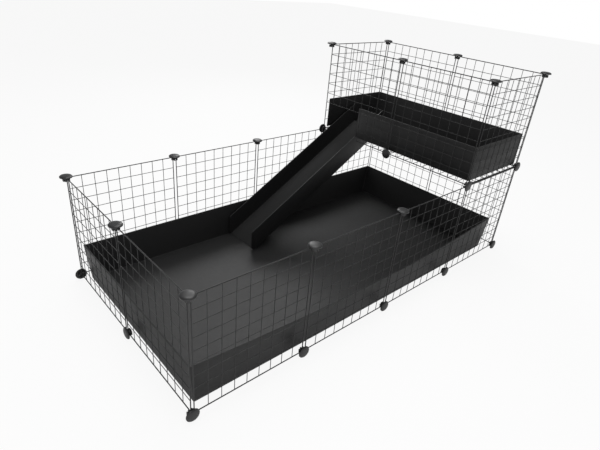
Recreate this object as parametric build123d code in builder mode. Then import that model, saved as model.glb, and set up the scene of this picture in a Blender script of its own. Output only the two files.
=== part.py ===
"""Modular guinea pig cage: wire grid panels held by slotted round clips, a corrugated plastic
base tray, a smaller loft tray on a grid floor, and a channel ramp that lifts at its crease.

Frame: origin on the floor under the middle of the cage, +X along its length towards the loft,
+Y towards the back, +Z up. Millimetres.
"""
from math import asin, atan2, cos, degrees, hypot, radians, tan
import os

from build123d import *

# Grid panels
squares = 9
panel_size = 355
frame_wire = 3.2
inner_wire = 2.0
corner_cut = 8
weld_gap = 0.05

# Spacing of the panels at a post, and of the two levels
post_gap = 12
level_gap = 4
foot_gap = 3

# Round clips
clip_radius = 19
clip_rim = 2.6
clip_dome = 4.4
hub_radius = 11
hub_depth = 10
core_radius = 3.9
hub_bore_radius = 5.5
hub_plate = 2.4
wire_clearance = 0.05
minor_slot_width = 2
minor_slot_start = 7.5
clip_facets = 12
core_facets = 8
shoulder_radius = 13
shoulder_rise = 0.7
crown_radius = 5

# Layout, counted in panels
bays_long = 4
bays_deep = 2
loft_bay = 3

# Corrugated plastic board
board = 4
seat_clearance = 0.3

# Base tray: gaps from the panel planes at its floor and at its rim
base_wall = 133
base_left_floor, base_left_rim = 30, 18
base_right_floor, base_right_rim = 34, 13
base_front_floor, base_front_rim = 44, 38
clip_to_tray = 2
base_back_floor, base_back_rim = hub_depth + clip_to_tray, 6
base_front_bow = 29

# Loft tray: gaps from the panel planes
loft_wall = 123
loft_left_gap = 13
loft_right_gap = 15
loft_side_gap = 8

# Ramp
ramp_width = 158
ramp_wall = 90
ramp_side_gap = 1
ramp_back_gap = max(base_back_floor + board, clip_radius) + ramp_side_gap
ramp_foot_x = 590
crease_x = 1280
ramp_foot_radius = 12
flap_length = 50
hinge_gap = 0.3
notch_clearance = 4
notch_end_gap = 0.8
gate_squares_wide = 5
gate_squares_high = 3
floor_notch_long = 5
floor_notch_start = 3

# Worked out from the sizes above
square = panel_size / squares
pitch = panel_size + post_gap
edge = post_gap / 2
length = bays_long * pitch
depth = bays_deep * pitch
low_level = clip_radius
low_edge = low_level + foot_gap
mid_level = low_edge + panel_size + level_gap / 2
high_edge = mid_level + level_gap / 2
top_level = high_edge + panel_size
frame_reach = frame_wire / 2 / cos(radians(30))
wire_slot = frame_reach + wire_clearance
butt = frame_reach + weld_gap
layer = inner_wire / 2 + weld_gap / 2


def post_x(index):
    return index * pitch - length / 2


def post_y(index):
    return index * pitch - depth / 2


def upright_plane(start, along):
    """Panel plane with its first corner at start; along is X or Y, and local Y is up."""
    normal = (0, -1, 0) if along == "x" else (1, 0, 0)
    return Plane(origin=start, x_dir=(1, 0, 0) if along == "x" else (0, 1, 0), z_dir=normal)


def save(part, name):
    part.label = name
    export_step(part, f"parts/{name}.step")


# Whole grid panel: one frame wire bent round four corners and two layers of inner wires
with BuildPart() as whole_grid:
    with BuildLine() as frame_path:
        Polyline(
            (corner_cut, 0), (panel_size - corner_cut, 0),
            (panel_size, corner_cut), (panel_size, panel_size - corner_cut),
            (panel_size - corner_cut, panel_size), (corner_cut, panel_size),
            (0, panel_size - corner_cut), (0, corner_cut),
            close=True,
        )
    start_plane = Plane(origin=frame_path.line @ 0, x_dir=(0, 1, 0), z_dir=frame_path.line % 0)
    with BuildSketch(start_plane):
        RegularPolygon(frame_wire / 2, 6, major_radius=False)
    sweep(path=frame_path.line, transition=Transition.RIGHT)
    with BuildSketch(Plane(origin=(0, butt, layer), x_dir=(1, 0, 0), z_dir=(0, 1, 0))):
        with Locations(*[(square * k, 0) for k in range(1, squares)]):
            RegularPolygon(inner_wire / 2, 6, major_radius=False)
    extrude(amount=panel_size - 2 * butt)
    with BuildSketch(Plane(origin=(butt, 0, -layer), x_dir=(0, 1, 0), z_dir=(1, 0, 0))):
        with Locations(*[(square * k, 0) for k in range(1, squares)]):
            RegularPolygon(inner_wire / 2, 6, major_radius=False)
    extrude(amount=panel_size - 2 * butt)


def save_whole_grid(name, plane):
    with BuildPart() as grid:
        with Locations(plane.location):
            add(whole_grid.part)
    save(grid.part, name)


def runs(index, hole_across, hole_along):
    """Stretches of wire number index, in squares, that stay beside a hole cut with snips."""
    if not hole_across[0] < index < hole_across[1]:
        return [(0, squares)]
    stays = [(0, hole_along[0]), (hole_along[1], squares)]
    return [(a, b) for a, b in stays if b > a]


def wire_end(count, side):
    """End of a wire: butted to the frame at the panel's edge, else cut just past a wire."""
    if count in (0, squares):
        return square * count - side * butt
    return square * count + side * inner_wire / 2


def save_cut_grid(name, plane, hole_x, hole_y):
    """Panel cut to an opening of hole_x by hole_y squares; its frame is left as straight bars."""
    with BuildPart() as flat:
        for k in range(squares + 1):
            rim = k in (0, squares)
            size = frame_wire if rim else inner_wire
            for a, b in runs(k, hole_x, hole_y):
                low, high = wire_end(a, -1), wire_end(b, 1)
                up = Plane(origin=(square * k, low, 0 if rim else layer), x_dir=(1, 0, 0), z_dir=(0, 1, 0))
                with BuildSketch(up):
                    RegularPolygon(size / 2, 6, major_radius=False)
                extrude(amount=high - low)
            for a, b in runs(k, hole_y, hole_x):
                low, high = wire_end(a, -1), wire_end(b, 1)
                if rim:
                    low = -frame_reach if a == 0 else low
                    high = panel_size + frame_reach if b == squares else high
                across = Plane(origin=(low, square * k, 0 if rim else -layer), x_dir=(0, 1, 0), z_dir=(1, 0, 0))
                with BuildSketch(across):
                    RegularPolygon(size / 2, 6, major_radius=False)
                extrude(amount=high - low)
    with BuildPart() as grid:
        with Locations(plane.location):
            add(flat.part)
    save(grid.part, name)


# Panels of the lower run
for bay in range(bays_long):
    x = post_x(bay) + edge
    save_whole_grid(f"front_panel_{bay + 1}", upright_plane((x, post_y(0), low_edge), "x"))
    save_whole_grid(f"back_panel_{bay + 1}", upright_plane((x, post_y(bays_deep), low_edge), "x"))
for row, side in enumerate(("front", "back")):
    y = post_y(row) + edge
    save_whole_grid(f"left_panel_{side}", upright_plane((post_x(0), y, low_edge), "y"))
    save_whole_grid(f"right_panel_{side}", upright_plane((post_x(bays_long), y, low_edge), "y"))

# Panels round the loft
loft_x = post_x(loft_bay) + edge
save_whole_grid("loft_panel_front", upright_plane((loft_x, post_y(0), high_edge), "x"))
save_whole_grid("loft_panel_back", upright_plane((loft_x, post_y(bays_deep), high_edge), "x"))
for row, side in enumerate(("front", "back")):
    y = post_y(row) + edge
    save_whole_grid(f"loft_panel_right_{side}", upright_plane((post_x(bays_long), y, high_edge), "y"))
save_whole_grid("loft_panel_left_front", upright_plane((post_x(loft_bay), post_y(0) + edge, high_edge), "y"))
gate_start = squares - gate_squares_wide
save_cut_grid(
    "loft_panel_left_gate",
    upright_plane((post_x(loft_bay), post_y(1) + edge, high_edge), "y"),
    (gate_start, squares), (-1, gate_squares_high),
)

# Floor grids under the loft, the back one cut for the ramp
save_whole_grid("loft_floor_grid_front", Plane(origin=(loft_x, post_y(0) + edge, mid_level)))
save_cut_grid(
    "loft_floor_grid_back",
    Plane(origin=(loft_x, post_y(1) + edge, mid_level)),
    (-1, floor_notch_long), (floor_notch_start, squares + 1),
)

# Round clip, domed face towards local +Z: a groove for wires that lie flat behind the face,
# and a slotted hub for the corners of panels that meet it edge on. Its rounds are facetted.
groove_back = -wire_slot
plate_back = groove_back - hub_plate
dome_low = wire_slot + clip_rim
dome_mid = dome_low + clip_dome * shoulder_rise
half_facet = 180 / clip_facets
with BuildPart() as clip:
    with BuildSketch(Plane.XY.offset(wire_slot)):
        RegularPolygon(clip_radius, clip_facets, major_radius=False, rotation=half_facet)
    extrude(amount=clip_rim)
    for low, low_radius, high, high_radius in (
        (dome_low, clip_radius, dome_mid, shoulder_radius),
        (dome_mid, shoulder_radius, dome_low + clip_dome, crown_radius),
    ):
        with BuildSketch(Plane.XY.offset(low)):
            RegularPolygon(low_radius, clip_facets, major_radius=False, rotation=half_facet)
        extrude(amount=high - low, taper=degrees(atan2(low_radius - high_radius, high - low)))
    with BuildSketch(Plane.XY.offset(plate_back)):
        RegularPolygon(core_radius, core_facets)
    extrude(amount=wire_slot - plate_back)
    with BuildSketch(Plane.XY.offset(-hub_depth)):
        RegularPolygon(hub_radius, clip_facets, major_radius=False, rotation=half_facet)
        RegularPolygon(hub_bore_radius, core_facets, rotation=180 / core_facets, mode=Mode.SUBTRACT)
    extrude(amount=hub_depth + plate_back)
    with BuildSketch(Plane.XY.offset(plate_back)):
        RegularPolygon(hub_radius, clip_facets, major_radius=False, rotation=half_facet)
    extrude(amount=hub_plate)
    slot_length = hub_radius - core_radius + 1
    minor_length = hub_radius - minor_slot_start + 1
    with BuildSketch(Plane.XY.offset(-hub_depth)):
        with PolarLocations(core_radius + slot_length / 2, 4):
            Rectangle(slot_length, 2 * wire_slot)
        with PolarLocations(minor_slot_start + minor_length / 2, 4, start_angle=45):
            Rectangle(minor_length, minor_slot_width)
    extrude(amount=hub_depth + groove_back, mode=Mode.SUBTRACT)


def save_clip(name, centre, facing):
    side = (1, 0, 0) if facing[0] == 0 else (0, 1, 0)
    with BuildPart() as placed:
        with Locations(Plane(origin=centre, x_dir=side, z_dir=facing).location):
            add(clip.part)
    save(placed.part, name)


front, back, left, right, up = (0, -1, 0), (0, 1, 0), (-1, 0, 0), (1, 0, 0), (0, 0, 1)

# Clips along the front and back, at the floor and at the first level
for post in range(bays_long + 1):
    for row, side, facing in ((0, "front", front), (bays_deep, "back", back)):
        place = (post_x(post), post_y(row))
        save_clip(f"foot_clip_{side}_{post + 1}", (*place, low_level), facing)
        if post < loft_bay:
            save_clip(f"rail_clip_{side}_{post + 1}", (*place, mid_level - level_gap / 2), up)
        else:
            save_clip(f"rail_clip_{side}_{post + 1}", (*place, mid_level), facing)

# Clips at the middle of the short sides, and round the top of the loft
save_clip("foot_clip_left", (post_x(0), post_y(1), low_level), left)
save_clip("foot_clip_right", (post_x(bays_long), post_y(1), low_level), right)
save_clip("rail_clip_left", (post_x(0), post_y(1), mid_level - level_gap / 2), up)
save_clip("rail_clip_right", (post_x(bays_long), post_y(1), mid_level), right)
save_clip("rail_clip_loft", (post_x(loft_bay), post_y(1), mid_level), left)
for post, end in ((loft_bay, "left"), (bays_long, "right")):
    for row, side in enumerate(("front", "middle", "back")):
        save_clip(f"top_clip_{end}_{side}", (post_x(post), post_y(row), top_level), up)


def tray_outline(left_gap, right_gap, front_gap, back_gap, bow, inset):
    """Edges inside the panel planes, the front one bowed forward by bow at the middle."""
    x0, x1 = post_x(0) + left_gap + inset, post_x(bays_long) - right_gap - inset
    y0, y1 = post_y(0) + front_gap + inset, post_y(bays_deep) - back_gap - inset
    with BuildLine() as outline:
        ThreePointArc((x0, y0), ((x0 + x1) / 2, y0 - bow), (x1, y0))
        Polyline((x1, y0), (x1, y1), (x0, y1), (x0, y0))
    return outline.line.edges()


# Base tray: one folded sheet with leaning walls, its front rim bowed out to the front panels
rim_gaps = (base_left_rim, base_right_rim, base_front_rim, base_back_rim, base_front_bow)
floor_gaps = (base_left_floor, base_right_floor, base_front_floor, base_back_floor, 1)
with BuildPart() as base_tray:
    with BuildSketch(Plane.XY):
        make_face(tray_outline(*floor_gaps, 0))
    with BuildSketch(Plane.XY.offset(base_wall)):
        make_face(tray_outline(*rim_gaps, 0))
    loft(ruled=True)
    with BuildSketch(Plane.XY.offset(board)):
        make_face(tray_outline(*floor_gaps, board))
    with BuildSketch(Plane.XY.offset(base_wall)):
        make_face(tray_outline(*rim_gaps, board))
    loft(ruled=True, mode=Mode.SUBTRACT)
save(base_tray.part, "base_tray")

# Loft tray: rests on the clip hubs at its corners, with a notch where the ramp comes up
loft_under = mid_level + hub_radius + seat_clearance
loft_floor = loft_under + board
loft_x0, loft_x1 = post_x(loft_bay) + loft_left_gap, post_x(bays_long) - loft_right_gap
loft_y0, loft_y1 = post_y(0) + loft_side_gap, post_y(bays_deep) - loft_side_gap
ramp_y1 = post_y(bays_deep) - ramp_back_gap
ramp_y0 = ramp_y1 - ramp_width
crease = post_x(0) + crease_x
notch_y0 = ramp_y0 - notch_clearance
notch_x1 = crease + notch_end_gap
with BuildPart() as loft_tray:
    with BuildSketch(Plane.XY.offset(loft_under)):
        with Locations(((loft_x0 + loft_x1) / 2, (loft_y0 + loft_y1) / 2)):
            Rectangle(loft_x1 - loft_x0, loft_y1 - loft_y0)
    extrude(amount=loft_wall)
    with BuildSketch(Plane.XY.offset(loft_floor)):
        with Locations(((loft_x0 + loft_x1) / 2, (loft_y0 + loft_y1) / 2)):
            Rectangle(loft_x1 - loft_x0 - 2 * board, loft_y1 - loft_y0 - 2 * board)
    extrude(amount=loft_wall, mode=Mode.SUBTRACT)
    with BuildSketch(Plane.XY.offset(loft_under)):
        with Locations(((loft_x0 + notch_x1) / 2, (notch_y0 + loft_y1 - board) / 2)):
            Rectangle(notch_x1 - loft_x0, loft_y1 - board - notch_y0)
    extrude(amount=board, mode=Mode.SUBTRACT)
    with BuildSketch(Plane.XY.offset(loft_under)):
        with Locations((loft_x0 + board / 2, (notch_y0 + loft_y1 - board) / 2)):
            Rectangle(board, loft_y1 - board - notch_y0)
    extrude(amount=loft_wall, mode=Mode.SUBTRACT)
save(loft_tray.part, "loft_tray")

# Ramp: slope found so that its rounded foot rests on the base tray's floor
pivot_z = loft_floor + seat_clearance + board
foot = post_x(0) + ramp_foot_x
run = crease - foot
drop = pivot_z - board - seat_clearance
slope = atan2(drop - ramp_foot_radius, run - ramp_foot_radius) + asin(
    (ramp_foot_radius - board) / hypot(run - ramp_foot_radius, drop - ramp_foot_radius)
)
board_upright = board / cos(slope)
foot_fall = run * tan(slope)
with BuildPart() as ramp:
    with BuildSketch(Plane.XZ.offset(-ramp_y1)):
        with BuildLine():
            end_x = crease - hinge_gap
            end_top = pivot_z - hinge_gap * tan(slope)
            FilletPolyline(
                (end_x, end_top + ramp_wall - board_upright),
                (foot, pivot_z - foot_fall + ramp_wall - board_upright),
                (foot, pivot_z - foot_fall - board_upright),
                (end_x, end_top - board_upright),
                radius=(ramp_foot_radius, ramp_foot_radius),
            )
            Line((end_x, end_top - board_upright), (end_x, end_top + ramp_wall - board_upright))
        make_face()
    extrude(amount=ramp_width)
    with BuildSketch(Plane.XZ.offset(-(ramp_y1 - board))):
        with BuildLine():
            Polyline(
                (foot - board, pivot_z - (run + board) * tan(slope)),
                (crease, pivot_z), (crease, pivot_z + 2 * ramp_wall),
                (foot - board, pivot_z + 2 * ramp_wall), close=True,
            )
        make_face()
    extrude(amount=ramp_width - 2 * board, mode=Mode.SUBTRACT)
save(ramp.part, "ramp")

# Flap of the same sheet, lying on the loft floor past the crease
with BuildPart() as ramp_flap:
    with BuildSketch(Plane.XY.offset(pivot_z - board)):
        with Locations((crease + flap_length / 2, (ramp_y0 + ramp_y1) / 2)):
            Rectangle(flap_length, ramp_width)
    extrude(amount=board)
save(ramp_flap.part, "ramp_flap")

print(f"hinge at x {crease:.3f}, z {pivot_z:.3f}, slope {degrees(slope):.3f} degrees")
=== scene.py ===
import math

import bmesh
import bpy
from mathutils import Matrix, Vector


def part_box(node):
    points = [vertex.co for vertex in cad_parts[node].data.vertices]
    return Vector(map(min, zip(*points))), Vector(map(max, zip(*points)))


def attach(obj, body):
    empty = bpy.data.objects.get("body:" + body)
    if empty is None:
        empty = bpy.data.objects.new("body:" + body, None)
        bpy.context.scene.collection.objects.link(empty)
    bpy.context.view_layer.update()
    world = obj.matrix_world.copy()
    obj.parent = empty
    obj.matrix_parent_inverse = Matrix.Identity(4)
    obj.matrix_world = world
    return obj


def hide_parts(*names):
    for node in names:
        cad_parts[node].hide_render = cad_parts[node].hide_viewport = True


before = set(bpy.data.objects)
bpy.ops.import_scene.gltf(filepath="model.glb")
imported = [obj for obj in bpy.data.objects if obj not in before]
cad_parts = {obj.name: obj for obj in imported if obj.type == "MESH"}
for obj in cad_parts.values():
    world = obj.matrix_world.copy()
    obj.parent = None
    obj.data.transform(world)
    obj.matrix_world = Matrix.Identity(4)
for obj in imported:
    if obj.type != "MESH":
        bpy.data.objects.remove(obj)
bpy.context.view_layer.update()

# Camera: stands off the front left corner and looks down on the cage, as in the photograph.
# Its place, turn and lens come from the corners of the grid panels.
camera_place = (-1.1323, -1.0971, 1.0022)
camera_turn_degrees = (61.68, -4.70, -41.45)
camera_lens_mm = 28.64
sensor_width_mm = 36
camera_reach = 30
bpy.ops.object.select_all(action="DESELECT")
bpy.ops.object.camera_add(location=camera_place, rotation=[math.radians(a) for a in camera_turn_degrees])
camera = bpy.context.object
camera.data.lens = camera_lens_mm
camera.data.sensor_width = sensor_width_mm
camera.data.clip_end = camera_reach
bpy.context.scene.camera = camera
bpy.context.scene.view_settings.view_transform = "Standard"

# Studio: a white paper floor, a white surround and three soft lamps. The floor keeps a faint shadow.
# The surround is plain white to the camera, and dimmer as a light and in reflections.
mm = 0.001
floor_width = 24
floor_drop = 0.5 * mm
paper_seen = 0.86
paper_evenness = 0.9
paper_glow = 0.12
surround_seen = 1.0
surround_as_light = 0.45


def linear(hex_colour):
    """An sRGB hex colour as linear red, green, blue and alpha."""
    channels = [int(hex_colour[i:i + 2], 16) / 255 for i in (1, 3, 5)]
    return [c / 12.92 if c <= 0.04045 else ((c + 0.055) / 1.055) ** 2.4 for c in channels] + [1.0]


def node(tree, kind, settings=None, links=None):
    """Adds a node, sets its properties and sockets, and links its inputs from other nodes' outputs."""
    made = tree.nodes.new(kind)
    for key, value in (settings or {}).items():
        if isinstance(key, str) and hasattr(made, key):
            setattr(made, key, value)
        else:
            made.inputs[key].default_value = value
    for key, source in (links or {}).items():
        tree.links.new(source, made.inputs[key])
    return made


def bare_material(name):
    """A new material with no nodes yet, and its node tree."""
    material = bpy.data.materials.new(name)
    material.use_nodes = True
    material.node_tree.nodes.clear()
    return material, material.node_tree


white_paper, paper = bare_material("white_paper_floor")
paper_rays = node(paper, "ShaderNodeLightPath")
paper_share = node(paper, "ShaderNodeMath", {"operation": "MULTIPLY", 1: paper_evenness}, {
    0: paper_rays.outputs["Is Camera Ray"]})
paper_body = node(paper, "ShaderNodeBsdfDiffuse", {"Color": linear("#f4f4f4")})
paper_white = node(paper, "ShaderNodeEmission", {"Color": linear("#ffffff"), "Strength": paper_seen})
paper_mix = node(paper, "ShaderNodeMixShader", None, {
    0: paper_share.outputs[0], 1: paper_body.outputs[0], 2: paper_white.outputs[0]})
paper_lift = node(paper, "ShaderNodeEmission", {"Color": linear("#ffffff"), "Strength": paper_glow})
paper_sum = node(paper, "ShaderNodeAddShader", None, {0: paper_mix.outputs[0], 1: paper_lift.outputs[0]})
node(paper, "ShaderNodeOutputMaterial", None, {"Surface": paper_sum.outputs[0]})
bpy.ops.mesh.primitive_plane_add(size=floor_width, location=(0, 0, -floor_drop))
floor = bpy.context.object
floor.name = "studio_floor"
floor.data.materials.append(white_paper)

world = bpy.data.worlds.new("white_surround")
bpy.context.scene.world = world
world.use_nodes = True
sky = world.node_tree
sky.nodes.clear()
sky_rays = node(sky, "ShaderNodeLightPath")
seen = node(sky, "ShaderNodeMath", {"operation": "MAXIMUM"}, {
    0: sky_rays.outputs["Is Camera Ray"], 1: sky_rays.outputs["Is Transmission Ray"]})
strength = node(sky, "ShaderNodeMapRange", {"To Min": surround_as_light, "To Max": surround_seen}, {
    "Value": seen.outputs[0]})
backdrop = node(sky, "ShaderNodeBackground", {"Color": linear("#ffffff")}, {"Strength": strength.outputs[0]})
node(sky, "ShaderNodeOutputWorld", None, {"Surface": backdrop.outputs[0]})

soft_lamps = (
    ("overhead_softbox", (0.1, 0.2, 2.6), (0, 0, 0), 1.6, 26),
    ("front_softbox", (-1.6, -2.2, 1.9), (0, 0, 0.2), 1.4, 22),
    ("back_softbox", (1.4, 2.2, 2.0), (0, 0, 0.3), 1.2, 18),
)
for lamp_name, lamp_place, lamp_aim, lamp_size, lamp_watts in soft_lamps:
    aim = (Vector(lamp_aim) - Vector(lamp_place)).to_track_quat("-Z", "Y").to_euler()
    bpy.ops.object.light_add(type="AREA", location=lamp_place, rotation=aim)
    lamp = bpy.context.object
    lamp.name = lamp_name
    lamp.data.size = lamp_size
    lamp.data.energy = lamp_watts

# Grid panels: mild steel wire, spot welded where it crosses and dipped in black powder coat.
# One thick wire is bent round the four corners, and thin wires cross inside it in two layers.
# Two panels are snipped: one is the ramp's gate, and one is notched for the ramp's head.
squares = 9
panel = 355 * mm
square = panel / squares
frame_wire_radius = 1.6 * mm
inner_wire_radius = 1.0 * mm
layer = 1.0 * mm
corner_bend = 8 * mm
corner_steps = 5
wire_roundness = 2
wire_smooth_degrees = 50
gate_first_square = 4
gate_squares_high = 3
notch_squares_long = 5
notch_first_square = 3
orange_peel = 1.111 * mm
peel_height = 0.2 * mm
dust_patch = 71.43 * mm


def black_powder_coat():
    """Powder coat on wire: satin black with a fine orange peel that breaks up the highlights."""
    coat, tree = bare_material("black_powder_coated_steel")
    place = node(tree, "ShaderNodeTexCoord").outputs["Object"]
    peel = node(tree, "ShaderNodeTexNoise", {"Scale": 1 / orange_peel, "Detail": 2}, {"Vector": place})
    dust = node(tree, "ShaderNodeTexNoise", {"Scale": 1 / dust_patch, "Detail": 4}, {"Vector": place})
    tone = node(tree, "ShaderNodeMix", {"data_type": "RGBA", 6: linear("#09090a"), 7: linear("#171718")}, {
        "Factor": dust.outputs["Fac"]})
    rough = node(tree, "ShaderNodeMapRange", {"To Min": 0.34, "To Max": 0.5}, {"Value": dust.outputs["Fac"]})
    bump = node(tree, "ShaderNodeBump", {"Strength": 0.15, "Distance": peel_height}, {
        "Height": peel.outputs["Fac"]})
    shader = node(tree, "ShaderNodeBsdfPrincipled", {"IOR": 1.5}, {
        "Base Color": tone.outputs[2], "Roughness": rough.outputs[0], "Normal": bump.outputs[0]})
    node(tree, "ShaderNodeOutputMaterial", None, {"Surface": shader.outputs[0]})
    return coat


powder_coat = black_powder_coat()


def bent_wire(points, radius, bend=0, closed=False):
    """A wire of that radius through the points, with its corners bent; a mesh at the origin."""
    bpy.ops.object.select_all(action="DESELECT")
    bpy.ops.mesh.primitive_plane_add(size=radius, location=(0, 0, 0))
    wire = bpy.context.object
    bpy.ops.object.mode_set(mode="EDIT")
    bpy.ops.mesh.merge(type="CENTER")
    bpy.ops.transform.translate(value=points[0])
    for start, end in zip(points, points[1:]):
        step = Vector(end) - Vector(start)
        bpy.ops.mesh.extrude_vertices_move(TRANSFORM_OT_translate={"value": step})
    if closed:
        mesh = bmesh.from_edit_mesh(wire.data)
        mesh.edges.new([vertex for vertex in mesh.verts if len(vertex.link_edges) == 1])
        bmesh.update_edit_mesh(wire.data)
    if bend:
        bpy.ops.mesh.select_all(action="SELECT")
        bpy.ops.mesh.bevel(offset=bend, affect="VERTICES", segments=corner_steps)
    bpy.ops.object.mode_set(mode="OBJECT")
    bpy.ops.object.convert(target="CURVE")
    wire = bpy.context.object
    wire.data.bevel_depth = radius
    wire.data.bevel_resolution = wire_roundness
    wire.data.use_fill_caps = True
    bpy.ops.object.convert(target="MESH")
    return bpy.context.object


def stretches(index, hole_across, hole_along):
    """What is left of wire number index, in squares, beside a hole snipped in the panel."""
    if not hole_across[0] < index < hole_across[1]:
        return [(0, squares)]
    return [(a, b) for a, b in ((0, hole_along[0]), (hole_along[1], squares)) if b > a]


def select_only(*objects):
    """Selects these objects alone and makes the first of them active."""
    bpy.ops.object.select_all(action="DESELECT")
    for chosen in objects:
        chosen.select_set(True)
    bpy.context.view_layer.objects.active = objects[0]


def panel_master(name, hole_x, hole_y, frame_points, closed):
    """One panel lying flat and centred on the origin."""
    half = panel / 2
    corners = [(x * square - half, y * square - half, 0) for x, y in frame_points]
    wires = [bent_wire(corners, frame_wire_radius, corner_bend, closed)]
    for k in range(1, squares):
        across = k * square - half
        for a, b in stretches(k, hole_x, hole_y):
            low, high = a * square - half, b * square - half
            wires.append(bent_wire([(across, low, layer), (across, high, layer)], inner_wire_radius))
        for a, b in stretches(k, hole_y, hole_x):
            low, high = a * square - half, b * square - half
            wires.append(bent_wire([(low, across, -layer), (high, across, -layer)], inner_wire_radius))
    select_only(*wires)
    bpy.ops.object.join()
    master = bpy.context.object
    master.name = name
    bpy.ops.object.shade_smooth_by_angle(angle=math.radians(wire_smooth_degrees))
    master.data.materials.clear()
    master.data.materials.append(powder_coat)
    return master


no_hole = (squares + 1, squares + 2)
whole_frame = [(0, 0), (squares, 0), (squares, squares), (0, squares)]
whole = panel_master("whole_panel", no_hole, no_hole, whole_frame, True)

gate_hole = ((gate_first_square, squares), (0, gate_squares_high))
gate_frame = [(gate_first_square, 0), (0, 0), (0, squares), (squares, squares), (squares, 0)]
gate = panel_master("gate_panel", *gate_hole, gate_frame, False)

notch_hole = ((0, notch_squares_long), (notch_first_square, squares))
notch_frame = [
    (notch_squares_long, squares), (squares, squares), (squares, 0), (0, 0), (0, notch_first_square)]
notched = panel_master("notched_panel", *notch_hole, notch_frame, False)

# Each panel is turned to stand where its node is, by the axis that the node is thin along.
turns = {
    0: Matrix(((0, 0, 1), (1, 0, 0), (0, 1, 0))),
    1: Matrix(((1, 0, 0), (0, 0, -1), (0, 1, 0))),
    2: Matrix.Identity(3),
}


def thin_axis(low, high):
    """The number of the axis that a box is thinnest along."""
    size = [b - a for a, b in zip(low, high)]
    return size.index(min(size))


def place_copy(master, name, matrix, body):
    """A copy with its own mesh, its place in the mesh, standing for the CAD node of that name."""
    copy = master.copy()
    copy.data = master.data.copy()
    copy.data.transform(matrix)
    copy.data.update()
    copy.name = name + "_dressed"
    bpy.context.collection.objects.link(copy)
    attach(copy, body)
    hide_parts(name)


snipped_panels = {"loft_panel_left_gate": gate, "loft_floor_grid_back": notched}
for name in sorted(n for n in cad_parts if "panel" in n or "grid" in n):
    low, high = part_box(name)
    centre = (Vector(low) + Vector(high)) / 2
    matrix = Matrix.Translation(centre) @ turns[thin_axis(low, high)].to_4x4()
    place_copy(snipped_panels.get(name, whole), name, matrix, "cage")
for master in (whole, gate, notched):
    bpy.data.objects.remove(master)

# Round clips: moulded black plastic, a smooth domed face over a groove and a slotted hub.
# They are pushed onto the panel corners by hand. The hub has four wide slots and four narrow ones
# between them.
clip_radius = 19 * mm
clip_under = 1.9 * mm
clip_rim = 2.6 * mm
clip_dome = 4.4 * mm
clip_facets = 48
clip_edge = 0.35 * mm
clip_edge_steps = 2
clip_edge_degrees = 50
clip_smooth_degrees = 35
dome_rings = 8
dome_steps = dome_rings + 0.5
dome_fullness = 2.4
upward_normal = 0.9
hub_radius = 11 * mm
hub_depth = 10 * mm
hub_bore = 5.5 * mm
hub_bore_facets = 32
hub_plate = 2.4 * mm
core_radius = 3.9 * mm
core_facets = 24
slots_of_a_kind = 4
main_slot = 3.8 * mm
minor_slot = 2.0 * mm
minor_slot_start = 7.5 * mm
mould_grain = 0.4545 * mm
grain_height = 0.1 * mm
wear_patch = 16.67 * mm


def moulded_black_plastic():
    """ABS from a polished mould with light handling marks: dark grey, satin, soft highlight."""
    plastic, tree = bare_material("moulded_black_abs")
    place = node(tree, "ShaderNodeTexCoord").outputs["Object"]
    grain = node(tree, "ShaderNodeTexNoise", {"Scale": 1 / mould_grain, "Detail": 2}, {"Vector": place})
    wear = node(tree, "ShaderNodeTexNoise", {"Scale": 1 / wear_patch, "Detail": 5}, {"Vector": place})
    tone = node(tree, "ShaderNodeMix", {"data_type": "RGBA", 6: linear("#101011"), 7: linear("#232324")}, {
        "Factor": wear.outputs["Fac"]})
    rough = node(tree, "ShaderNodeMapRange", {"To Min": 0.28, "To Max": 0.46}, {"Value": wear.outputs["Fac"]})
    bump = node(tree, "ShaderNodeBump", {"Strength": 0.08, "Distance": grain_height}, {
        "Height": grain.outputs["Fac"]})
    shader = node(tree, "ShaderNodeBsdfPrincipled", {"IOR": 1.53}, {
        "Base Color": tone.outputs[2], "Roughness": rough.outputs[0], "Normal": bump.outputs[0]})
    node(tree, "ShaderNodeOutputMaterial", None, {"Surface": shader.outputs[0]})
    return plastic


def cut(target, cutter):
    """Cuts one mesh from another and removes the cutter."""
    select_only(target)
    boolean = target.modifiers.new("cut", "BOOLEAN")
    boolean.operation = "DIFFERENCE"
    boolean.object = cutter
    boolean.solver = "EXACT"
    bpy.ops.object.modifier_apply(modifier=boolean.name)
    bpy.data.objects.remove(cutter)


def cut_slot(hub, turn_degrees, start, end, width):
    """Cuts one slot down the hub, from start to end outwards from its middle."""
    turn = math.radians(turn_degrees)
    reach = (start + end) / 2
    bpy.ops.mesh.primitive_cube_add(
        location=(reach * math.cos(turn), reach * math.sin(turn), -hub_depth / 2),
        rotation=(0, 0, turn), scale=((end - start) / 2, width / 2, hub_depth))
    cut(hub, bpy.context.object)


def soften_edges(piece, width, steps, degrees):
    """Rounds the edges of the active piece that turn by more than so many degrees."""
    rounding = piece.modifiers.new("soft_edges", "BEVEL")
    rounding.width = width
    rounding.segments = steps
    rounding.limit_method = "ANGLE"
    rounding.angle_limit = math.radians(degrees)
    bpy.ops.object.modifier_apply(modifier=rounding.name)


def dome_height(share):
    """How far the dome stands over its rim, at a share of the way in from the rim to its middle."""
    return clip_dome * math.sqrt(1 - (1 - share) ** dome_fullness)


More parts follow.
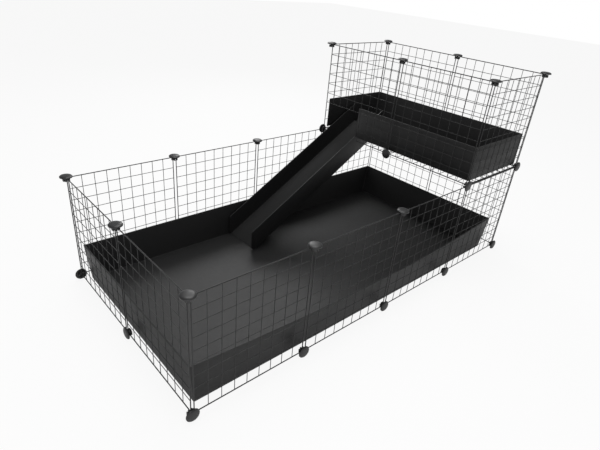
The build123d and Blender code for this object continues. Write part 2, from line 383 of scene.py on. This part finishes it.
def domed_cap():
    """The clip's face: a rim whose top face is inset and raised ring by ring to a dome."""
    bpy.ops.object.select_all(action="DESELECT")
    bpy.ops.mesh.primitive_cylinder_add(
        vertices=clip_facets, radius=clip_radius, depth=clip_rim, location=(0, 0, clip_under + clip_rim / 2))
    cap = bpy.context.object
    bpy.ops.object.transform_apply(location=True)
    bpy.ops.object.mode_set(mode="EDIT")
    bpy.ops.mesh.select_mode(type="FACE")
    mesh = bmesh.from_edit_mesh(cap.data)
    for face in mesh.faces:
        face.select = face.normal.z > upward_normal
    bmesh.update_edit_mesh(cap.data)
    for ring in range(1, dome_rings + 1):
        share = ring / dome_steps
        last = (ring - 1) / dome_steps
        bpy.ops.mesh.inset(thickness=clip_radius * (share - last))
        bpy.ops.transform.translate(value=(0, 0, dome_height(share) - dome_height(last)))
    bpy.ops.object.mode_set(mode="OBJECT")
    return cap


def slotted_hub():
    """The ring behind the groove, bored from behind and slotted for the corners of the panels."""
    bpy.ops.mesh.primitive_cylinder_add(
        vertices=clip_facets, radius=hub_radius, depth=hub_depth - clip_under,
        location=(0, 0, -(hub_depth + clip_under) / 2))
    hub = bpy.context.object
    bpy.ops.mesh.primitive_cylinder_add(
        vertices=hub_bore_facets, radius=hub_bore, depth=hub_depth,
        location=(0, 0, -hub_depth / 2 - clip_under - hub_plate))
    cut(hub, bpy.context.object)
    for k in range(slots_of_a_kind):
        turn_degrees = 360 / slots_of_a_kind * k
        cut_slot(hub, turn_degrees, core_radius, 2 * hub_radius, main_slot)
        between_degrees = turn_degrees + 180 / slots_of_a_kind
        cut_slot(hub, between_degrees, minor_slot_start, minor_slot_start + hub_radius, minor_slot)
    return hub


def clip_master():
    """One clip at the origin, its domed face towards +Z and its wire groove at height 0."""
    cap = domed_cap()
    hub = slotted_hub()
    bpy.ops.mesh.primitive_cylinder_add(
        vertices=core_facets, radius=core_radius, depth=clip_under * 2 + hub_plate,
        location=(0, 0, -hub_plate / 2))
    core = bpy.context.object
    select_only(cap, hub, core)
    bpy.ops.object.join()
    bpy.ops.object.transform_apply(location=True, rotation=True, scale=True)
    clip = bpy.context.object
    soften_edges(clip, clip_edge, clip_edge_steps, clip_edge_degrees)
    bpy.ops.object.shade_smooth_by_angle(angle=math.radians(clip_smooth_degrees))
    clip.data.materials.clear()
    clip.data.materials.append(moulded_black_plastic())
    return clip


clip = clip_master()
facings = {
    "up": Vector((0, 0, 1)), "front": Vector((0, -1, 0)), "back": Vector((0, 1, 0)),
    "left": Vector((-1, 0, 0)), "right": Vector((1, 0, 0)),
}
face_offset = (clip_under + clip_rim + clip_dome - hub_depth) / 2
for name in sorted(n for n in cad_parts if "clip" in n):
    low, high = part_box(name)
    thin = thin_axis(low, high)
    if thin == 2:
        facing = facings["up"]
    elif thin == 1:
        facing = facings["front" if "front" in name else "back"]
    else:
        facing = facings["right" if "right" in name else "left"]
    centre = (Vector(low) + Vector(high)) / 2 - facing * face_offset
    turn = facing.to_track_quat("Z", "Y").to_matrix().to_4x4()
    place_copy(clip, name, Matrix.Translation(centre) @ turn, "cage")
bpy.data.objects.remove(clip)

# Trays, ramp and flap: black corrugated polypropylene sheet, scored, folded and held by its corners.
# The sheet is satin, with faint ribs where the flutes show through, and soft creases at the folds.
flute_spacing = 4.5 * mm
flute_height = 0.3 * mm
wave_texture_rate = 20
buckle_size = 200 * mm
buckle_height = 4 * mm
scuff_size = 11.11 * mm
merge_distance = 0.01 * mm
flat_degrees = 1
fold_softness = 1.2 * mm
fold_steps = 3
fold_degrees = 35
sheet_smooth_degrees = 30


def corrugated_sheet(name, spacing_axis):
    """Extruded polypropylene twin-wall sheet; its flutes are spaced along one axis and barely show.

    wave_texture_rate is how many radians a wave texture goes through in a metre, at a scale of 1.
    """
    sheet, tree = bare_material(name)
    place = node(tree, "ShaderNodeTexCoord").outputs["Object"]
    flutes = node(tree, "ShaderNodeTexWave", {
        "wave_type": "BANDS", "bands_direction": spacing_axis,
        "Scale": math.tau / (wave_texture_rate * flute_spacing), "Distortion": 0.0}, {"Vector": place})
    buckles = node(tree, "ShaderNodeTexNoise", {"Scale": 1 / buckle_size, "Detail": 3}, {"Vector": place})
    scuffs = node(tree, "ShaderNodeTexNoise", {"Scale": 1 / scuff_size, "Detail": 6}, {"Vector": place})
    tone = node(tree, "ShaderNodeMix", {"data_type": "RGBA", 6: linear("#060606"), 7: linear("#0f0f10")}, {
        "Factor": buckles.outputs["Fac"]})
    rough = node(tree, "ShaderNodeMapRange", {"To Min": 0.42, "To Max": 0.56}, {
        "Value": scuffs.outputs["Fac"]})
    ribs = node(tree, "ShaderNodeBump", {"Strength": 0.05, "Distance": flute_height}, {
        "Height": flutes.outputs["Fac"]})
    waves = node(tree, "ShaderNodeBump", {"Strength": 0.12, "Distance": buckle_height}, {
        "Height": buckles.outputs["Fac"], "Normal": ribs.outputs[0]})
    shader = node(tree, "ShaderNodeBsdfPrincipled", {"IOR": 1.49}, {
        "Base Color": tone.outputs[2], "Roughness": rough.outputs[0], "Normal": waves.outputs[0]})
    node(tree, "ShaderNodeOutputMaterial", None, {"Surface": shader.outputs[0]})
    return sheet


def folded_sheet(name, body, material):
    """The CAD sheet with its facets merged and its folds and cut edges softened."""
    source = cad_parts[name]
    piece = source.copy()
    piece.data = source.data.copy()
    piece.parent = None
    piece.matrix_world = Matrix.Identity(4)
    piece.name = name + "_folded"
    bpy.context.collection.objects.link(piece)
    select_only(piece)
    bpy.ops.object.mode_set(mode="EDIT")
    bpy.ops.mesh.select_all(action="SELECT")
    bpy.ops.mesh.remove_doubles(threshold=merge_distance)
    bpy.ops.mesh.dissolve_limited(angle_limit=math.radians(flat_degrees))
    bpy.ops.object.mode_set(mode="OBJECT")
    soften_edges(piece, fold_softness, fold_steps, fold_degrees)
    bpy.ops.object.shade_smooth_by_angle(angle=math.radians(sheet_smooth_degrees))
    piece.data.materials.clear()
    piece.data.materials.append(material)
    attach(piece, body)
    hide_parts(name)


long_flutes = corrugated_sheet("black_corrugated_pp_long", "Y")
cross_flutes = corrugated_sheet("black_corrugated_pp_cross", "X")
folded_sheet("base_tray", "cage", long_flutes)
folded_sheet("loft_tray", "cage", cross_flutes)
folded_sheet("ramp", "ramp", long_flutes)
folded_sheet("ramp_flap", "cage", long_flutes)
